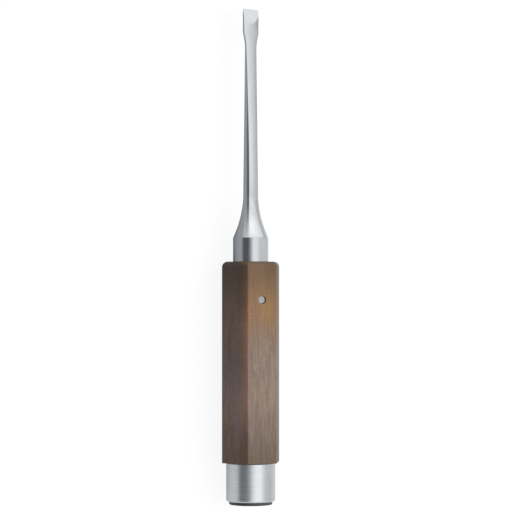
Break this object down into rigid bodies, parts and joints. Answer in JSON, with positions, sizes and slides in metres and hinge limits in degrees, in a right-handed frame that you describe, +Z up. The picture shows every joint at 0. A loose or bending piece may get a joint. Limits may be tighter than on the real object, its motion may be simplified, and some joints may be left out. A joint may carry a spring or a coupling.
{
  "type": "osteotome",
  "caption": "Surgical bone osteotome: straight tapered steel blade with a round bolster, hexagonal brown laminate handle, cross pin and a steel striking ring at the butt.",
  "frame": {"origin": "on the surface the tool lies on, midway between the cutting edge and the butt, below the tool's axis", "axes": "+Y along the tool's axis toward the cutting edge, +Z up out of the upper flat of the handle, where one end of the cross pin shows"},
  "size_m": [0.0278, 0.22, 0.0243],
  "materials": {
    "blade_steel": "satin polished martensitic stainless steel",
    "handle_laminate": "brown cotton-fabric phenolic laminate, machined and lightly polished",
    "ring_steel": "turned and satin polished stainless steel",
    "pin_steel": "plain drawn stainless steel, cut flat"
  },
  "bodies": {
    "root": {"blade": "blade_steel", "handle": "handle_laminate", "striking_ring": "ring_steel", "cross_pin": "pin_steel"}
  },
  "joints": []
}
